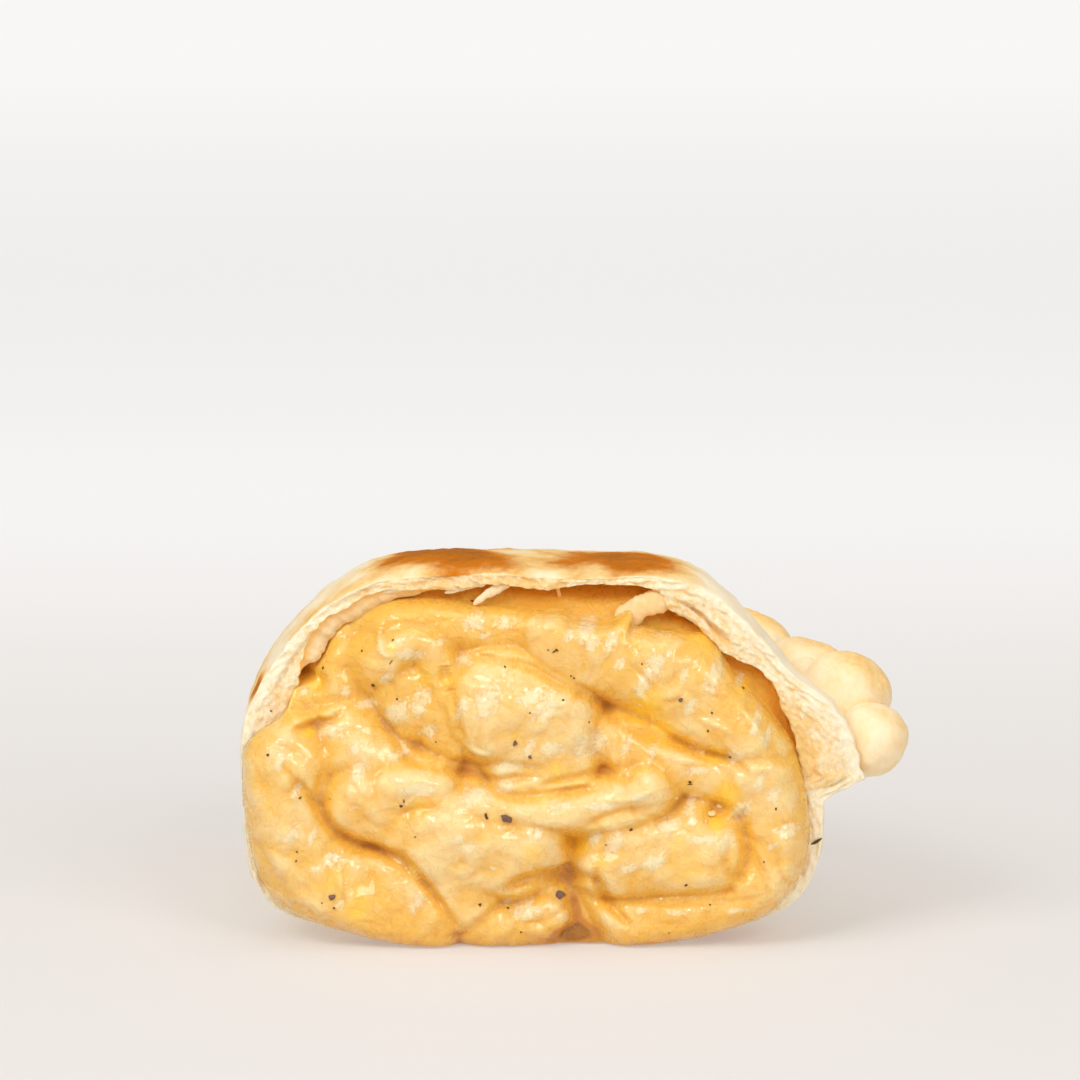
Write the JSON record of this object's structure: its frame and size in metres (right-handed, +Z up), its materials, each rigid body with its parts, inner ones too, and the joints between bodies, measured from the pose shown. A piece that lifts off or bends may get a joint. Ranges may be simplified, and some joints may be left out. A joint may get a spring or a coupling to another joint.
{
  "type": "empanada",
  "caption": "Half of a baked empanada cut across, with a rope-edged crust and a creamy cheese filling that bulges out of the cut.",
  "frame": {"origin": "on the table, under the middle of the box around the half", "axes": "+Z up from the flat base; the cut face looks along -Y and the rounded tip is at +Y; +X is the side with the rope edge"},
  "size_m": [0.0631, 0.0637, 0.036],
  "materials": {
    "baked_crust": "dry baked pastry, pale with browned places",
    "creamy_filling": "moist melted cheese cream"
  },
  "bodies": {
    "root": {"crust": "baked_crust", "filling": "creamy_filling"}
  },
  "joints": []
}
